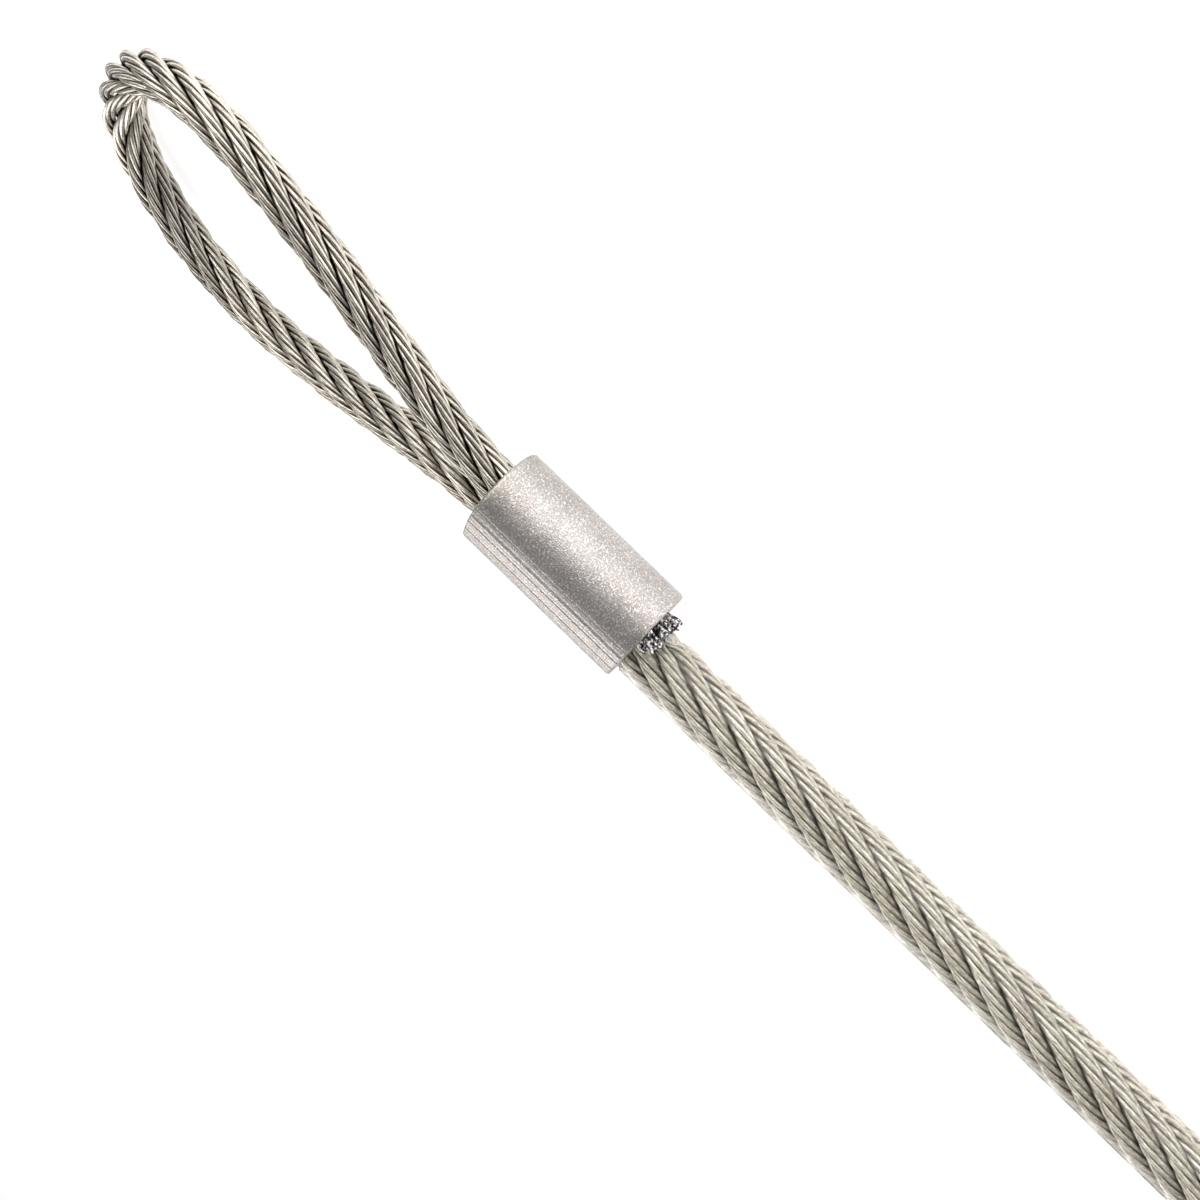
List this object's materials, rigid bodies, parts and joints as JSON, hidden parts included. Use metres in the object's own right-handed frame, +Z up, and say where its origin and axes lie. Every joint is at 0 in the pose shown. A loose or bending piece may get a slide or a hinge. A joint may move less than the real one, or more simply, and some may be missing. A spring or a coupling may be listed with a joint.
{
  "type": "wire rope sling",
  "caption": "Short eye-and-eye wire rope sling: clear-jacketed strand rope with a bare soft eye and a pressed aluminium ferrule at each end.",
  "frame": {"origin": "on the surface the sling lies on, below the middle of its span", "axes": "+X along the sling from end A to end B, +Z up, out of the plane of the eyes"},
  "size_m": [0.3, 0.0304, 0.0088],
  "materials": {
    "wire_bare": "bare drawn wire",
    "wire_core": "bare drawn wire, in shade",
    "wire_jacketed": "drawn wire under clear jacket",
    "ferrule": "frosted, as pressed",
    "jacket": "clear PVC, smooth"
  },
  "bodies": {
    "end_a": {"ferrule_a": "ferrule", "jacket_a": "jacket", "tail_a": "wire_bare", "span_a_core": "wire_core", "span_a_strand_1": "wire_jacketed", "span_a_strand_2": "wire_jacketed", "span_a_strand_3": "wire_jacketed", "span_a_strand_4": "wire_jacketed", "span_a_strand_5": "wire_jacketed", "span_a_strand_6": "wire_jacketed"},
    "end_b": {"ferrule_b": "ferrule", "jacket_b": "jacket", "tail_b": "wire_bare", "span_b_core": "wire_core", "span_b_strand_1": "wire_jacketed", "span_b_strand_2": "wire_jacketed", "span_b_strand_3": "wire_jacketed", "span_b_strand_4": "wire_jacketed", "span_b_strand_5": "wire_jacketed", "span_b_strand_6": "wire_jacketed"},
    "eye_a": {"eye_a_core": "wire_core", "eye_a_strand_1": "wire_bare", "eye_a_strand_2": "wire_bare", "eye_a_strand_3": "wire_bare", "eye_a_strand_4": "wire_bare", "eye_a_strand_5": "wire_bare", "eye_a_strand_6": "wire_bare"},
    "eye_b": {"eye_b_core": "wire_core", "eye_b_strand_1": "wire_bare", "eye_b_strand_2": "wire_bare", "eye_b_strand_3": "wire_bare", "eye_b_strand_4": "wire_bare", "eye_b_strand_5": "wire_bare", "eye_b_strand_6": "wire_bare"}
  },
  "joints": [
    {"name": "span_bend", "type": "hinge", "parent": "end_a", "child": "end_b", "pos_m": [0, 0, 0.0044], "axis": [0, 0, 1], "range_deg": [-40, 40], "stiffness_Nm_per_rad": 0.15},
    {"name": "eye_a_flex", "type": "hinge", "parent": "end_a", "child": "eye_a", "pos_m": [-0.0985, 0.00215, 0.0044], "axis": [0, 1, 0], "range_deg": [-30, 30], "stiffness_Nm_per_rad": 0.1},
    {"name": "eye_b_flex", "type": "hinge", "parent": "end_b", "child": "eye_b", "pos_m": [0.0985, -0.00215, 0.0044], "axis": [0, -1, 0], "range_deg": [-30, 30], "stiffness_Nm_per_rad": 0.1}
  ]
}
